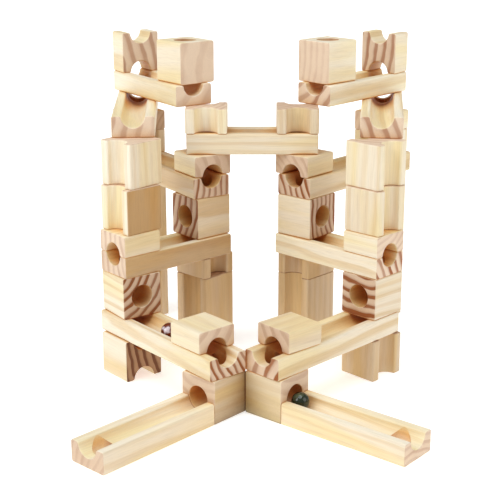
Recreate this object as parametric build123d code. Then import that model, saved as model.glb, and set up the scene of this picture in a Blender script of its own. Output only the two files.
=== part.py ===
from build123d import *
import math
import os

# Marble run stacked from loose pine blocks: two mirrored towers joined by one bridge rail.
# Frame: +X right, +Y back, +Z up, origin on the table under the middle of the object. Millimetres.

# ---- driving dimensions -------------------------------------------------------------------------
BLOCK = 40.0                  # side of a cube and width of every piece
HALF = BLOCK / 2              # thickness of rails, covers and flat blocks
MODULE = 42.0                 # step of the lengths sawn along the grain
LONG_RAIL = 4 * MODULE
SHORT_RAIL = 3 * MODULE
THIN = 24.0                   # length of a thin grooved block
TALL = 2 * BLOCK              # length of the tall grooved blocks under the rails
BORE_R = 11.0                 # radius of every groove, tunnel and drop hole
MARBLE_R = 8.0
MARBLE_LIFT = 0.3             # running clearance under a marble
LONG_EDGE = 2.0               # rounding of the edges along the grain
LOBE_EDGE = 1.9               # the same on the blocks with two grooves
END_EDGE = 1.1                # rounding of the edges round a sawn end
RIM_EDGE = 0.7                # rounding of the rim of a bored hole
COVER_SETBACK = 16.0          # from a drop hole to the middle of the lower cover

# ---- heights of the layers ----------------------------------------------------------------------
Z_LOWER_RAIL = BLOCK
Z_OUTER_CUBE = Z_LOWER_RAIL + HALF
Z_MIDDLE_RAIL = Z_OUTER_CUBE + BLOCK
Z_MIDDLE_COVER = Z_MIDDLE_RAIL + HALF
Z_COLUMN = Z_MIDDLE_COVER + HALF
Z_INNER_CUBE = Z_MIDDLE_RAIL + HALF
Z_UPPER_RAIL = Z_INNER_CUBE + BLOCK
Z_UPPER_COVER = Z_UPPER_RAIL + HALF
Z_BRIDGE = Z_UPPER_COVER + HALF
Z_FORWARD_RAIL = Z_COLUMN + 2 * MODULE
Z_TOP_RAIL = Z_FORWARD_RAIL + HALF
Z_TOP = Z_TOP_RAIL + HALF

# ---- plan of the four stacks in each tower, and the headings of what lies on them ------------------
# A heading is the direction from a piece's drop hole along the piece, in degrees from +X towards +Y.
# The blocks were stacked by hand, so each stack and each piece is a little off square: a shift moves
# a piece off the middle of its stack, and top_hole_shift moves the top rail inward along itself.
LEFT = {
    "base": (-40.7, -86.0), "outer": (-121.0, 12.5), "inner": (-57.0, 72.0), "rear": (-125.0, 173.5),
    "exit": 227.5, "lower": 130.0, "middle": 40.5, "upper": 123.5, "forward": -86.8, "top": 304.0,
    "lower_cover": 131.5, "outer_cube": 305.0, "inner_cube": 221.0, "foot": 130.0,
    "column": (44.0, 48.5), "column_shift": ((1.5, 4.0), (2.5, 9.0)), "foot_shift": (-1.0, -6.0),
    "inner_column": 50.0, "inner_half": 137.5, "inner_column_shift": (3.0, 0.0),
    "upper_cover_shift": (1.4, 4.0), "top_hole_shift": 5.0, "top_cube": 128.5,
    "top_cube_spot": (-71.9, 104.7), "top_block": 121.0,
}
RIGHT = {
    "base": (14.6, -84.5), "outer": (106.0, 10.5), "inner": (46.0, 71.5), "rear": (127.5, 169.5),
    "exit": -39.5, "lower": 45.8, "middle": 136.3, "upper": 48.5, "forward": -96.2, "top": 228.0,
    "lower_cover": 42.0, "outer_cube": 225.5, "inner_cube": 319.5, "foot": 134.0,
    "column": (137.0, 135.0), "column_shift": ((0.5, 3.0), (0.5, 6.0)), "foot_shift": (0.5, -3.0),
    "inner_column": 46.0, "inner_half": 46.5, "inner_column_shift": (0.5, 0.0),
    "upper_cover_shift": (-2.4, 3.4), "top_hole_shift": 6.5, "top_cube": 44.5,
    "top_cube_spot": (66.1, 107.7), "top_block": 52.0,
}
BRIDGE_MIDDLE = (-7.0, 81.5)
BRIDGE_BLOCKS = {"left": -51.0, "right": 36.5}
MARBLE_AT_COVER = 65.0        # amber marble: distance from the lower rail's drop hole
MARBLE_AT_EXIT = 26.0         # green marble: distance from the base stack along the exit rail
FOOTPRINT_MIDDLE = (1.83, -0.34)   # middle of the whole footprint in the plan above


# ---- the kinds of piece, each about its own reference axis ------------------------------------------
def rounded_prism(profile, length, plane):
    """Saw a profile to length and ease the edges round both ends."""
    body = extrude(plane * profile, amount=length)
    ends = body.edges().filter_by(lambda e: abs(e.tangent_at(0.5).dot(plane.z_dir)) < 0.01)
    return fillet(ends, END_EDGE)


def channel_profile(height, grooves, edge=LONG_EDGE):
    """A rectangle BLOCK wide with half-round grooves; grooves lists their centres as (x, y)."""
    outline = Rectangle(BLOCK, height)
    for spot in grooves:
        outline -= Pos(*spot) * Circle(BORE_R)
    return fillet(outline.vertices(), edge)


def rail(length):
    """Rail along +X with its drop hole on the origin, HALF from one end; groove on top."""
    profile = channel_profile(HALF, [(0, HALF / 2)])
    plane = Plane(origin=(-HALF, 0, HALF / 2), x_dir=(0, 1, 0), z_dir=(1, 0, 0))
    return rounded_prism(profile, length, plane) - Cylinder(BORE_R, 3 * HALF)


def cover():
    """Half-height block with a groove along its underside, centred over the origin."""
    profile = channel_profile(HALF, [(0, -HALF / 2)])
    plane = Plane(origin=(-HALF, 0, HALF / 2), x_dir=(0, 1, 0), z_dir=(1, 0, 0))
    return rounded_prism(profile, BLOCK, plane)


def grooved_block(length):
    """H-shaped block standing on the origin, grooves up its -X and +X faces."""
    profile = channel_profile(BLOCK, [(-HALF, 0), (HALF, 0)], LOBE_EDGE)
    return rounded_prism(profile, length, Plane.XY)


def plain_block(height):
    return rounded_prism(channel_profile(height, []), BLOCK,
                         Plane(origin=(-HALF, 0, height / 2), x_dir=(0, 1, 0), z_dir=(1, 0, 0)))


def eased_rim(body, face_axis):
    """Ease the circular rim where a bore leaves the block on the side face_axis points to."""
    rim = body.edges().filter_by(GeomType.CIRCLE).filter_by(
        lambda e: abs(e.radius - BORE_R) < 0.01).sort_by(face_axis)[-1]
    return fillet(rim, RIM_EDGE)


def turning_cube():
    """Cube on the origin: bored from the top to its middle, then out through the +X face."""
    middle = Pos(0, 0, HALF)
    body = plain_block(BLOCK)
    body -= Pos(0, 0, HALF + BLOCK / 2) * Cylinder(BORE_R, BLOCK)
    body -= middle * Sphere(BORE_R)
    body -= middle * Pos(BLOCK / 2, 0, 0) * Rot(0, 90, 0) * Cylinder(BORE_R, BLOCK)
    return eased_rim(eased_rim(body, Axis.X), Axis.Z)


def entry_cube():
    """Cube on the origin: bored right through, with a groove from the bore out under the +X face."""
    body = plain_block(BLOCK) - Cylinder(BORE_R, 3 * BLOCK)
    body -= Pos(BLOCK / 2, 0, 0) * Rot(0, 90, 0) * Cylinder(BORE_R, BLOCK)
    return eased_rim(body, Axis.Z)


# ---- placing -------------------------------------------------------------------------------------
os.makedirs("parts", exist_ok=True)


def ahead(point, heading, distance):
    """The point that lies so far from another along a heading."""
    return (point[0] + distance * math.cos(math.radians(heading)),
            point[1] + distance * math.sin(math.radians(heading)))


def shifted(point, shift):
    return (point[0] + shift[0], point[1] + shift[1])


def place(name, shape, spot, z, heading=0.0):
    """Stand a piece on its layer, turned to its heading, and write it as its own node."""
    x, y = spot[0] - FOOTPRINT_MIDDLE[0], spot[1] - FOOTPRINT_MIDDLE[1]
    placed = Pos(x, y, z) * Rot(0, 0, heading) * shape
    export_step(placed, f"parts/{name}.step")


def tower(side, plan):
    base, outer, inner, rear = plan["base"], plan["outer"], plan["inner"], plan["rear"]

    # bottom layer: base cube, exit rail on the table, lying or standing foot block
    place(f"{side}_base_cube", turning_cube(), base, 0, plan["exit"])
    place(f"{side}_exit_rail", rail(SHORT_RAIL), ahead(base, plan["exit"], SHORT_RAIL), 0,
          plan["exit"] + 180)
    foot = grooved_block(BLOCK)
    if side == "left":
        foot = Pos(-HALF, 0, HALF) * Rot(0, 90, 0) * foot
    place(f"{side}_foot_block", foot, shifted(outer, plan["foot_shift"]), 0, plan["foot"])

    # lower rail with its cover, and the cube that feeds it
    place(f"{side}_lower_rail", rail(LONG_RAIL), base, Z_LOWER_RAIL, plan["lower"])
    place(f"{side}_lower_cover", cover(), ahead(base, plan["lower"], COVER_SETBACK), Z_OUTER_CUBE,
          plan["lower_cover"])
    place(f"{side}_outer_cube", turning_cube(), outer, Z_OUTER_CUBE, plan["outer_cube"])

    # middle rail, its cover and the two tall blocks on it
    place(f"{side}_middle_rail", rail(SHORT_RAIL), outer, Z_MIDDLE_RAIL, plan["middle"])
    place(f"{side}_middle_cover", cover(), outer, Z_MIDDLE_COVER, plan["middle"])
    for level, (heading, shift) in enumerate(zip(plan["column"], plan["column_shift"])):
        place(f"{side}_column_{level + 1}", grooved_block(MODULE), shifted(outer, shift),
              Z_COLUMN + level * MODULE, heading)

    # column under the inner end of the middle rail, and the cube on top of that end
    under_inner = shifted(inner, plan["inner_column_shift"])
    place(f"{side}_inner_column", grooved_block(TALL), under_inner, 0, plan["inner_column"])
    place(f"{side}_inner_half_block", grooved_block(HALF), under_inner, TALL, plan["inner_half"])
    place(f"{side}_inner_cube", turning_cube(), inner, Z_INNER_CUBE, plan["inner_cube"])

    # upper rail from the inner stack back to the rear stack, with its cover
    place(f"{side}_upper_rail", rail(LONG_RAIL), inner, Z_UPPER_RAIL, plan["upper"])
    place(f"{side}_upper_cover", cover(), shifted(inner, plan["upper_cover_shift"]), Z_UPPER_COVER,
          plan["upper"])

    # rear stack
    for level in range(2):
        place(f"{side}_rear_column_{level + 1}", grooved_block(TALL), rear, level * TALL,
              plan["upper"])
    place(f"{side}_rear_thin_block", grooved_block(THIN), rear, Z_UPPER_COVER, plan["upper"])
    place(f"{side}_rear_flat_block", plain_block(HALF), rear, Z_UPPER_COVER + THIN, plan["upper"])

    # forward rail from the rear stack over the tall column, and the top rail across it
    place(f"{side}_forward_rail", rail(LONG_RAIL), rear, Z_FORWARD_RAIL, plan["forward"])
    top_hole = ahead(rear, plan["top"], plan["top_hole_shift"])
    place(f"{side}_top_rail", rail(SHORT_RAIL), top_hole, Z_TOP_RAIL, plan["top"])
    place(f"{side}_top_cube", entry_cube(), plan["top_cube_spot"], Z_TOP, plan["top_cube"])
    lying = Pos(-THIN / 2, 0, HALF) * Rot(0, 90, 0) * grooved_block(THIN)
    place(f"{side}_top_block", lying, ahead(top_hole, plan["top"], THIN / 2 - HALF), Z_TOP,
          plan["top_block"])


tower("left", LEFT)
tower("right", RIGHT)

# the bridge between the towers: a rail lying straight across, a thin block standing on each end
place("bridge_rail", rail(SHORT_RAIL), (BRIDGE_MIDDLE[0] + SHORT_RAIL / 2 - HALF, BRIDGE_MIDDLE[1]),
      Z_BRIDGE, 180)
for side, x in BRIDGE_BLOCKS.items():
    place(f"{side}_bridge_block", grooved_block(THIN), (x, BRIDGE_MIDDLE[1]), Z_BRIDGE + HALF, 90)

# glass marbles lying in their grooves
groove_rest = HALF - BORE_R + MARBLE_LIFT + MARBLE_R
place("amber_marble", Sphere(MARBLE_R), ahead(LEFT["base"], LEFT["lower"], MARBLE_AT_COVER),
      Z_LOWER_RAIL + groove_rest)
place("green_marble", Sphere(MARBLE_R), ahead(RIGHT["base"], RIGHT["exit"], MARBLE_AT_EXIT),
      groove_rest)
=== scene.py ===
import math
import random

import bpy
from mathutils import Matrix, Vector


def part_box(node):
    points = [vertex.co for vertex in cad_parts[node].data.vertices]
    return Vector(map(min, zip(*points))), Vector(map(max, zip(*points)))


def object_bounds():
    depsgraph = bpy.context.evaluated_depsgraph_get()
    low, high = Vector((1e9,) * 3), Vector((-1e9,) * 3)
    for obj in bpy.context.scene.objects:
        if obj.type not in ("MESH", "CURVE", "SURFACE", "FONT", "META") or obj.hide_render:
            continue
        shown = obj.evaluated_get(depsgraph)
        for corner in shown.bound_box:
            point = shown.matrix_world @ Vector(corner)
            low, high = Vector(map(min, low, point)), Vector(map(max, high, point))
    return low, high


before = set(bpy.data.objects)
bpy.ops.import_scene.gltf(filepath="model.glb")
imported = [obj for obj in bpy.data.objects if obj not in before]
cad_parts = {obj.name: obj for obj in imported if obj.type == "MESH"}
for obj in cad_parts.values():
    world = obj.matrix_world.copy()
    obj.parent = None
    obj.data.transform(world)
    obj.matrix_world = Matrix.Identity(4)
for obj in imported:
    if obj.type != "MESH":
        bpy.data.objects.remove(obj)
cad_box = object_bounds()

# Wooden marble run: every block keeps its CAD mesh and gets its own pine, cut from its own place in
# a log. Lengths are in metres and headings in degrees from +X, unless said otherwise.

# ---- what each piece looks like ---------------------------------------------------------------------
# Heading of each block's grain. Blocks that are not named here stand with their grain upright.
GRAIN = {
    "left": {
        "base_cube": 227.5, "exit_rail": 227.5, "foot_block": 310, "lower_rail": 309.5,
        "lower_cover": 311.5, "outer_cube": 305, "middle_rail": 220.5, "middle_cover": 220.5,
        "inner_cube": 221, "upper_rail": 303.5, "upper_cover": 303.5, "forward_rail": 273.2,
        "rear_flat_block": 303.5, "top_rail": 304, "top_cube": 308.5, "top_block": 301,
    },
    "right": {
        "base_cube": 320.5, "exit_rail": 320.5, "lower_rail": 225.8, "lower_cover": 222,
        "outer_cube": 225.5, "middle_rail": 316.3, "middle_cover": 316.3, "inner_cube": 319.5,
        "upper_rail": 228.5, "upper_cover": 228.5, "forward_rail": 263.8, "rear_flat_block": 228.5,
        "top_rail": 228, "top_cube": 224.5, "top_block": 232,
    },
    "bridge": {"rail": 0},
}

# Growth rings on a block's end: middle of the rings seen on the end the grain points to, in
# millimetres rightward and upward of the block's middle, the width of one year's ring in
# millimetres, and how strongly the rings are drawn.
RINGS = {
    "left_outer_cube": (-44, 38, 8.0, 1.05), "left_lower_rail": (60, 25, 6.6, 0.9),
    "left_foot_block": (80, 18, 8.2, 1.1), "left_inner_cube": (-80, 25, 8.5, 0.95),
    "left_upper_rail": (-90, 6, 6.4, 0.75), "left_top_block": (-100, -24, 12.0, 0.51),
    "left_top_cube": (60, -8, 21, 0.25), "left_base_cube": (8, 70, 9.0, 0.3),
    "left_lower_cover": (-60, 50, 13, 0.35), "left_upper_cover": (-60, -20, 12, 0.3),
    "left_top_rail": (-45, 40, 20, 0.4), "left_middle_cover": (80, 12, 8.5, 0.35),
    "left_middle_rail": (80, 12, 8.5, 0.35), "left_forward_rail": (-70, 10, 13, 0.4),
    "right_outer_cube": (5, 85, 9.5, 1.1), "right_lower_rail": (60, -30, 13.0, 0.8),
    "right_inner_cube": (85, 8, 7.0, 0.8), "right_upper_rail": (80, 22, 7.4, 0.95),
    "right_top_block": (-95, 14, 9.6, 0.65), "right_forward_rail": (-90, -36, 11.0, 0.6),
    "right_middle_rail": (-60, -34, 9.0, 0.9), "right_top_rail": (-60, 50, 12, 0.6),
    "right_top_cube": (-90, 6, 8.0, 0.2), "right_lower_cover": (60, 40, 12, 0.4),
    "right_base_cube": (10, 80, 11, 0.3),
}
# For every other block: range of the distance between its middle and the middle of its rings, and
# range of the rings' width, both in millimetres, and how strongly its rings are drawn.
PITH_AWAY, RING_WIDTH, FAINT = (40, 90), (5.5, 10), 0.3
# Rings drawn more strongly than this are bold. For bold rings and for the rest: least darkness of a
# year's late wood, and how far it shows as lines on the faces along the grain.
BOLD = 0.5
BOLD_LATE, FAINT_LATE = (0.7, 0.55), (0.5, 0.36)
# How much darker than the least a year's late wood may be.
YEARS_APART = 0.45
# Most that a block's grain leans off its heading, in radians, and most that a block is moved along
# its log.
LEAN, ALONG_LOG = 0.04, 3
# How far rings wander off their circles, from one side to the other.
WANDER = 0.009
# Darkness across one year's ring, from the end of one year's late wood to the end of the next.
YEAR = [(0.0, 0.5), (0.06, 0.0), (0.4, 0.05), (0.57, 0.35), (0.69, 1.0), (0.94, 1.0), (1.0, 0.5)]

# How far a block's colour goes from pale sapwood (0) to red-brown heartwood (1): partly real heartwood
# and partly painted shade on blocks and faces that lie in shade, such as the inner faces that look
# toward the other tower. Where a heading follows, only the outer face that looks that way does.
HEART_AND_SHADE = {
    "left_inner_column": (0.7,), "left_inner_half_block": (0.7,), "left_column_1": (1.0, 312),
    "left_column_2": (0.25, 317), "left_foot_block": (0.1,), "left_base_cube": (0.6, 317),
    "left_exit_rail": (0.3, 317), "left_middle_rail": (0.85, 310), "left_middle_cover": (0.3, 310),
    "left_inner_cube": (0.4,), "left_outer_cube": (0.1,), "left_lower_rail": (0.08,),
    "left_lower_cover": (0.1,), "left_upper_cover": (0.1,), "left_upper_rail": (0.4,),
    "left_rear_flat_block": (0.6,), "left_rear_thin_block": (0.5,), "left_rear_column_1": (0.6,),
    "left_rear_column_2": (0.5,), "left_bridge_block": (0.05,), "bridge_rail": (0.2,),
    "right_bridge_block": (0.35,), "right_inner_column": (0.6,), "right_inner_half_block": (0.65,),
    "right_column_1": (0.2,), "right_column_2": (0.1,), "right_foot_block": (0.6,),
    "right_base_cube": (0.3, 230), "right_exit_rail": (0.2, 231), "right_lower_cover": (0.3,),
    "right_lower_rail": (0.15,), "right_upper_cover": (0.3,), "right_upper_rail": (0.35,),
    "right_outer_cube": (0.25,), "right_inner_cube": (0.2,), "right_top_block": (0.1,),
    "right_rear_column_1": (0.4,), "right_rear_column_2": (0.3,),
}
# Blocks whose ends have a share of their own, on the same scale, which makes their ends darker: on the
# left foot block's end this darkness is painted shade.
END_HEART_AND_SHADE = {
    "left_foot_block": 0.95, "left_outer_cube": 0.4, "left_inner_cube": 0.45,
    "left_upper_cover": 0.35, "left_lower_rail": 0.25, "left_base_cube": 0.15,
    "left_middle_rail": 0.1, "left_exit_rail": 0.25, "right_inner_cube": 0.4,
    "right_outer_cube": 0.3, "right_lower_rail": 0.15, "right_base_cube": 0.15,
}
# Blocks with painted shade in the corner where they meet, and the way their shaded face looks.
SHADED_CORNER = {"left_base_cube": 317, "right_base_cube": 230}
# An outer face lies further than this from its block's middle; walls of bores and grooves lie nearer.
OUTER_FACE = 0.013
# A face looks a given way from the first of these cosines with it, and wholly from the second.
LOOKS_FROM, LOOKS_TO = 0.3, 0.8

# Faces along the grain have pale and gold bands and dark lines; the ends have colours of their own.
SAPWOOD = {
    "pale": (0.905, 0.815, 0.65), "gold": (0.90, 0.775, 0.48), "dark": (0.72, 0.505, 0.23),
    "end_pale": (0.80, 0.62, 0.455), "end_dark": (0.34, 0.098, 0.02),
}
# Heartwood's colours, its end colours most, are dark enough to carry painted shade where a share of them
# darkens shaded faces and ends.
HEARTWOOD = {
    "pale": (0.50, 0.30, 0.125), "gold": (0.52, 0.27, 0.065), "dark": (0.38, 0.175, 0.06),
    "end_pale": (0.38, 0.205, 0.105), "end_dark": (0.14, 0.042, 0.010),
}
# A face is an end from the first of these cosines with the grain, and wholly from the second.
END = [(0.45, 0.0), (0.85, 1.0)]
# Noise in the wood: scale along the grain, scale across it, detail and roughness.
SWAY, FIBRE = (8, 32, 2.0, 0.55), (30, 1500, 4.0, 0.65)
STREAK, DRIFT = (4, 120, 5.0, 0.6), (5, 45, 2.0, 0.55)
# What the noise does: drift makes gold bands and fibres make flecks, streaks darken the faces along
# the grain, and drift darkens the ends beside their rings.
BANDS, FLECKS = [(0.42, 0.0), (0.62, 1.0)], [(0.3, 0.88), (0.55, 1.0)]
STREAKS, END_RINGS, END_DRIFT = 0.8, 1.15, 0.5
# How far late wood stands proud, as a share of what fibres do.
LATE_RELIEF = 0.5
BUMP = {"Strength": 0.22, "Distance": 0.0003}
# Roughness of the wood, what fibres add to it and what an end adds to it.
SMOOTH, FIBRE_ROUGH, END_ROUGH = 0.42, 0.2, 0.16

# Painted shade by how open a point is, from 0 for buried to 1 for open, and how far round it that is
# judged: first for bores and seams, in orange brown like light bounced off other wood, then for the
# corner where the base cubes meet.
SEAM_REACH, CORNER_SHADE_REACH, OPENNESS_RAYS = 0.032, 0.06, 6
SEAM_SHADE = [(0.0, (0.60, 0.18, 0.04)), (0.15, (0.90, 0.41, 0.13)), (0.32, (0.98, 0.66, 0.35)),
             (0.52, (0.98, 0.85, 0.64)), (0.7, 1.0)]
CORNER_SHADE = [(0.2, (0.30, 0.27, 0.22)), (0.38, (0.52, 0.48, 0.40)), (0.55, (0.90, 0.87, 0.79)),
             (0.8, 1.0)]
# The painted shade of bores and seams comes in over the lowest part of the object: between these two
# shares of this height.
SHADE_HEIGHT, SHADE_FROM, SHADE_TO = 0.02, 0.1, 0.7
# How much of the painted shade of bores and seams upright blocks get.
UPRIGHT_SHADE = 0.35

MARBLE_RADIUS = 0.008
# Body colour, colour of a painted highlight and the side it is painted on.
GLASS = {
    "amber_marble": ((0.16, 0.020, 0.005), (0.90, 0.80, 0.86), (-0.35, -0.75, 0.55)),
    "green_marble": ((0.018, 0.028, 0.010), (0.09, 0.11, 0.06), (-0.3, -0.6, 0.75)),
}
# Noise of the painted highlight, how much the side and the noise count, and where the painted highlight
# begins and is full.
HIGHLIGHT_NOISE = (90, 120, 3.0, 0.55)
SIDE_COUNTS, HIGHLIGHT_NOISE_COUNTS = 0.5, 0.6
HIGHLIGHT_FROM, HIGHLIGHT_TO = 0.71, 0.78
GLASS_FINISH = {"Roughness": 0.04, "IOR": 1.5, "Transmission Weight": 0.2, "Coat Weight": 0.15,
                "Coat Roughness": 0.02}

# ---- floor, light and camera ------------------------------------------------------------------------
# The floor is so large that its edge is never in view.
FLOOR_SIZE = 400
FLOOR_FINISH = {"Base Color": (0.9, 0.9, 0.9, 1), "Roughness": 0.9, "Specular IOR Level": 0.1,
                "Emission Color": (1, 1, 1, 1), "Emission Strength": 0.45}
# Each sun: the way to it, its strength, its colour and its width in degrees.
SUNS = {
    "key": ((-1.3, -0.65, 0.95), 1.06, (1.0, 0.985, 0.97), 35),
    "fill": ((1.35, -0.6, 0.8), 0.66, (1.0, 0.975, 0.95), 45),
    "top": ((-0.1, -0.2, 1.0), 1.52, (0.90, 0.955, 1.0), 50),
}
SKY = {"Color": (1, 1, 1, 1), "Strength": 0.34}
# The camera stands where the photograph was taken from, as worked out from the corners of the blocks,
# and looks this many degrees down. Lens and sensor are in millimetres.
CAMERA_AT, CAMERA_DOWN = (-0.0110, -1.0564, 0.4479), 17.05
LENS, SENSOR = 86.0, 36
NEAREST, FURTHEST = 0.05, 60


# ---- shader nodes -----------------------------------------------------------------------------------
def new_material(name):
    """A new material; returns it with its node tree and its Principled shader."""
    material = bpy.data.materials.new(name)
    material.use_nodes = True
    tree = material.node_tree
    return material, tree, tree.nodes["Principled BSDF"]


def settle(shader, values):
    for name, value in values.items():
        shader.inputs[name].default_value = value


def node(tree, kind, **values):
    """A node with the sockets and settings that are given by name."""
    made = tree.nodes.new(kind)
    for key, value in values.items():
        if key in made.inputs:
            made.inputs[key].default_value = value
        else:
            setattr(made, key, value)
    return made


def feed(tree, socket, value):
    """Fill a socket from another node's output or with a plain value."""
    if isinstance(value, bpy.types.NodeSocket):
        tree.links.new(value, socket)
    else:
        socket.default_value = value


def maths(tree, operation, *inputs):
    """A Math node over outputs and plain numbers; returns its output."""
    made = node(tree, "ShaderNodeMath", operation=operation)
    for socket, value in zip(made.inputs, inputs):
        feed(tree, socket, value)
    return made.outputs[0]


def vectors(tree, operation, *inputs):
    """A Vector Math node over outputs and plain vectors; returns its output."""
    made = node(tree, "ShaderNodeVectorMath", operation=operation)
    for socket, value in zip(made.inputs, inputs):
        feed(tree, socket, value)
    return made.outputs["Value" if operation in ("DOT_PRODUCT", "LENGTH") else "Vector"]


def clamped(tree, value):
    return maths(tree, "MINIMUM", maths(tree, "MAXIMUM", value, 0.0), 1.0)


def ramp(tree, source, stops):
    """A ramp over stops, each a place and a colour or a grey level; returns its colour output."""
    made = node(tree, "ShaderNodeValToRGB")
    elements = made.color_ramp.elements
    elements.remove(elements[-1])
    for index, (place, colour) in enumerate(stops):
        spot = elements.new(place) if index else elements[0]
        spot.position = place
        spot.color = (*(colour if isinstance(colour, tuple) else (colour,) * 3), 1)
    feed(tree, made.inputs[0], source)
    return made.outputs[0]


def mix(tree, kind, factor, a, b):
    """A Mix node over outputs and plain colours; returns its colour output."""
    made = node(tree, "ShaderNodeMix", data_type="RGBA", blend_type=kind)
    for name, wanted, value in (("Factor", "VALUE", factor), ("A", "RGBA", a), ("B", "RGBA", b)):
        socket = next(s for s in made.inputs if s.name == name and s.type == wanted)
        feed(tree, socket, (*value, 1) if isinstance(value, tuple) else value)
    return next(s for s in made.outputs if s.type == "RGBA")


def noise(tree, vector, along, across, detail, roughness):
    """Noise with a scale along X and another on Y and Z; returns the node's outputs."""
    scaled = node(tree, "ShaderNodeMapping", Scale=(along, across, across))
    feed(tree, scaled.inputs["Vector"], vector)
    made = node(tree, "ShaderNodeTexNoise", Scale=1.0, Detail=detail, Roughness=roughness)
    feed(tree, made.inputs["Vector"], scaled.outputs[0])
    return made.outputs


def openness(tree, reach):
    """How much of the space within reach of a point is free, from 0 to 1."""
    return node(tree, "ShaderNodeAmbientOcclusion", Distance=reach, samples=OPENNESS_RAYS).outputs["AO"]


# ---- wood -------------------------------------------------------------------------------------------
def cut_from_log(name, heading, dice):
    """Where a block was cut: its turn into the log's frame, the middle of its rings in that frame, the
    width of a ring and how strongly the rings are drawn. In the log's frame X runs along the grain,
    and Y points right and Z up for a viewer who faces the end."""
    if heading is None:
        turn = Matrix.Rotation(dice.uniform(0, 6.28), 3, "X") @ Matrix.Rotation(math.radians(90), 3, "Y")
    else:
        turn = Matrix.Rotation(-math.radians(heading), 3, "Z")
    around = dice.uniform(0, 2 * math.pi)
    away = dice.uniform(*PITH_AWAY)
    across, up, width, strength = RINGS.get(
        name, (away * math.cos(around), away * math.sin(around), dice.uniform(*RING_WIDTH), FAINT))
    lean = (Matrix.Rotation(dice.uniform(-LEAN, LEAN), 3, "Y") @
            Matrix.Rotation(dice.uniform(-LEAN, LEAN), 3, "Z"))
    pith = Vector((dice.uniform(-ALONG_LOG, ALONG_LOG), across / 1000, up / 1000))
    return lean @ turn, pith, width / 1000, strength


def latewood(tree, wood, width, first_year, least):
    """How far each point lies in a year's dark late wood: rings that wander a little round the pith."""
    sway = vectors(tree, "SUBTRACT", noise(tree, wood, *SWAY)["Color"], (0.5, 0.5, 0.5))
    swayed = vectors(tree, "MULTIPLY_ADD", sway, (WANDER, WANDER, WANDER), wood)
    from_pith = vectors(tree, "LENGTH", vectors(tree, "MULTIPLY", swayed, (0, 1, 1)))
    rings = maths(tree, "DIVIDE", from_pith, width)
    years = node(tree, "ShaderNodeTexWhiteNoise", noise_dimensions="1D")
    feed(tree, years.inputs["W"], maths(tree, "ADD", maths(tree, "FLOOR", rings), first_year))
    darkness = maths(tree, "MULTIPLY_ADD", years.outputs["Value"], YEARS_APART, least)
    return maths(tree, "MULTIPLY", ramp(tree, maths(tree, "FRACT", rings), YEAR), darkness)


def share_on_face(tree, place, centre, share, toward=None):
    """A share for a whole block, as a number, or for its outer face that looks one way, as an output."""
    if toward is None:
        return share
    aim = Vector((math.cos(math.radians(toward)), math.sin(math.radians(toward)), 0))
    faced = vectors(tree, "DOT_PRODUCT", place.outputs["Normal"], aim)
    out = vectors(tree, "DOT_PRODUCT", place.outputs["Object"], aim)
    outer = maths(tree, "GREATER_THAN", out, aim.dot(centre) + OUTER_FACE)
    return maths(tree, "MULTIPLY", outer, ramp(tree, faced, [(LOOKS_FROM, 0.0), (LOOKS_TO, share)]))


def with_painted_shade(tree, place, centre, name, upright, colour):
    """Colour with painted shade where little light gets in, and painted shade in the corner where the
    base cubes meet.
    """
    # painted shade: bare wood made orange brown where light would only reach it off other wood, left out
    # low down where the white floor lights it from below
    height = node(tree, "ShaderNodeSeparateXYZ")
    feed(tree, height.inputs[0], place.outputs["Object"])
    above = ramp(tree, maths(tree, "MULTIPLY", height.outputs["Z"], 1 / SHADE_HEIGHT),
                 [(SHADE_FROM, 0.0), (SHADE_TO, UPRIGHT_SHADE if upright else 1.0)])
    colour = mix(tree, "MULTIPLY", above, colour, ramp(tree, openness(tree, SEAM_REACH), SEAM_SHADE))
    # painted shade on the base cubes' faces in the corner where they meet
    if name in SHADED_CORNER:
        where = share_on_face(tree, place, centre, 1.0, SHADED_CORNER[name])
        corner_shade_tint = ramp(tree, openness(tree, CORNER_SHADE_REACH), CORNER_SHADE)
        colour = mix(tree, "MULTIPLY", where, colour, corner_shade_tint)
    return colour


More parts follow.
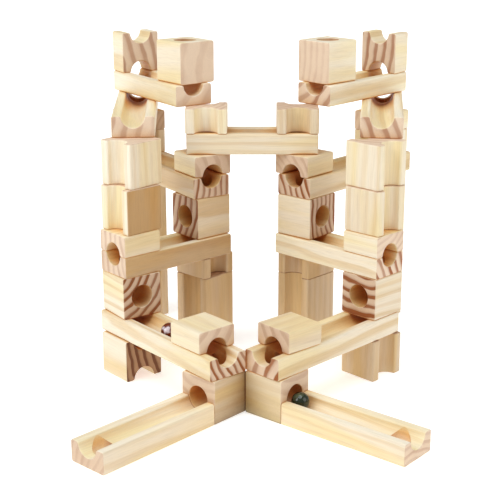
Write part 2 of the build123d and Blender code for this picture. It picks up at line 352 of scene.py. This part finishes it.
def pine(name, heading, centre):
    """Pine for one block: growth rings round a pith, as a solid texture."""
    dice = random.Random(name)
    grain, pith, width, strength = cut_from_log(name, heading, dice)
    least, line_darkness = BOLD_LATE if strength > BOLD else FAINT_LATE
    material, tree, shader = new_material("pine_" + name)
    place = node(tree, "ShaderNodeTexCoord")
    cut = node(tree, "ShaderNodeMapping", Location=-pith - grain @ centre, Rotation=grain.to_euler())
    feed(tree, cut.inputs["Vector"], place.outputs["Object"])
    wood = cut.outputs[0]

    late = latewood(tree, wood, width, dice.uniform(0, 99), least)
    fibre = noise(tree, wood, *FIBRE)["Fac"]
    streak = noise(tree, wood, *STREAK)["Fac"]
    drift = noise(tree, wood, *DRIFT)["Fac"]

    # how far the surface faces along the grain
    along = grain.transposed() @ Vector((1, 0, 0))
    facing = vectors(tree, "DOT_PRODUCT", place.outputs["Normal"], along)
    end = ramp(tree, maths(tree, "ABSOLUTE", facing), END)

    # share of heartwood colour, partly painted shade
    share = share_on_face(tree, place, centre, *HEART_AND_SHADE.get(name, (0.0,)))
    end_share = END_HEART_AND_SHADE.get(name, share)
    tints = {key: mix(tree, "MIX", end_share if key.startswith("end") else share,
                      SAPWOOD[key], HEARTWOOD[key]) for key in SAPWOOD}

    # along the grain: pale and gold in broad bands, with late wood and streaks as darker lines
    ground = mix(tree, "MIX", ramp(tree, drift, BANDS), tints["pale"], tints["gold"])
    lines = maths(tree, "MULTIPLY", late, line_darkness)
    lines = maths(tree, "MULTIPLY_ADD", maths(tree, "SUBTRACT", streak, 0.5), STREAKS, lines)
    long_colour = mix(tree, "MIX", clamped(tree, lines), ground, tints["dark"])
    # across the grain: pinker, with clear rings that fade and darken slowly
    rings = maths(tree, "MULTIPLY", late, END_RINGS * strength)
    rings = maths(tree, "MULTIPLY_ADD", maths(tree, "SUBTRACT", drift, 0.5), END_DRIFT, rings)
    end_colour = mix(tree, "MIX", clamped(tree, rings), tints["end_pale"], tints["end_dark"])

    colour = mix(tree, "MIX", end, long_colour, end_colour)
    colour = mix(tree, "MULTIPLY", 1.0, colour, ramp(tree, fibre, FLECKS))
    # painted shade in bores, seams and the base cubes' corner
    colour = with_painted_shade(tree, place, centre, name, heading is None, colour)

    # hard late wood stands a little proud of the sanded rest, and fibres catch the light
    bump = node(tree, "ShaderNodeBump", **BUMP)
    feed(tree, bump.inputs["Height"], maths(tree, "MULTIPLY_ADD", late, LATE_RELIEF, fibre))
    rough = maths(tree, "MULTIPLY_ADD", end, END_ROUGH,
                  maths(tree, "MULTIPLY_ADD", fibre, FIBRE_ROUGH, SMOOTH))
    feed(tree, shader.inputs["Base Color"], colour)
    feed(tree, shader.inputs["Roughness"], rough)
    feed(tree, shader.inputs["Normal"], bump.outputs[0])
    return material


# ---- glass ------------------------------------------------------------------------------------------
def glass(name, centre, colour, highlight, toward):
    """Marble glass: a dark clear body, glossy, with a painted highlight on the side that faces the
    camera.
    """
    material, tree, shader = new_material(name)
    place = node(tree, "ShaderNodeTexCoord").outputs["Object"]
    wave = maths(tree, "MULTIPLY", noise(tree, place, *HIGHLIGHT_NOISE)["Fac"], HIGHLIGHT_NOISE_COUNTS)
    aim = Vector(toward).normalized() / MARBLE_RADIUS
    side = maths(tree, "SUBTRACT", vectors(tree, "DOT_PRODUCT", place, aim), aim.dot(centre))
    level = maths(tree, "MULTIPLY_ADD", side, SIDE_COUNTS, wave)
    # painted highlight on the given side
    tint = ramp(tree, level, [(HIGHLIGHT_FROM, colour), (HIGHLIGHT_TO, highlight)])
    feed(tree, shader.inputs["Base Color"], tint)
    settle(shader, GLASS_FINISH)
    return material


def dress(name, obj):
    low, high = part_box(name)
    centre = (low + high) / 2
    if name in GLASS:
        material = glass(name + "_glass", centre, *GLASS[name])
        for face in obj.data.polygons:
            face.use_smooth = True
    else:
        side, _, part = name.partition("_")
        material = pine(name, GRAIN[side].get(part), centre)
    obj.data.materials.clear()
    obj.data.materials.append(material)


for name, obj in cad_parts.items():
    dress(name, obj)


# ---- stage ------------------------------------------------------------------------------------------
def stage_floor():
    bpy.ops.mesh.primitive_plane_add(size=FLOOR_SIZE, location=(0, 0, cad_box[0].z))
    floor = bpy.context.object
    floor.name = "studio_floor"
    material, _, shader = new_material("studio_white")
    settle(shader, FLOOR_FINISH)
    floor.data.materials.append(material)


def soft_sun(name, toward, strength, colour, spread):
    lamp = bpy.data.lights.new(name, "SUN")
    lamp.energy = strength
    lamp.color = colour
    lamp.angle = math.radians(spread)
    obj = bpy.data.objects.new(name, lamp)
    obj.rotation_euler = (-Vector(toward)).to_track_quat("-Z", "Y").to_euler()
    bpy.context.scene.collection.objects.link(obj)


stage_floor()
for name, sun in SUNS.items():
    soft_sun(name, *sun)

world = bpy.data.worlds.new("studio")
bpy.context.scene.world = world
world.use_nodes = True
settle(world.node_tree.nodes["Background"], SKY)

bpy.context.scene.view_settings.view_transform = "Standard"
bpy.context.scene.view_settings.look = "None"

camera = bpy.data.cameras.new("camera")
camera.lens = LENS
camera.sensor_width = SENSOR
camera.clip_start = NEAREST
camera.clip_end = FURTHEST
view = bpy.data.objects.new("camera", camera)
view.location = CAMERA_AT
view.rotation_euler = (math.radians(90 - CAMERA_DOWN), 0, 0)
bpy.context.scene.collection.objects.link(view)
bpy.context.scene.camera = view
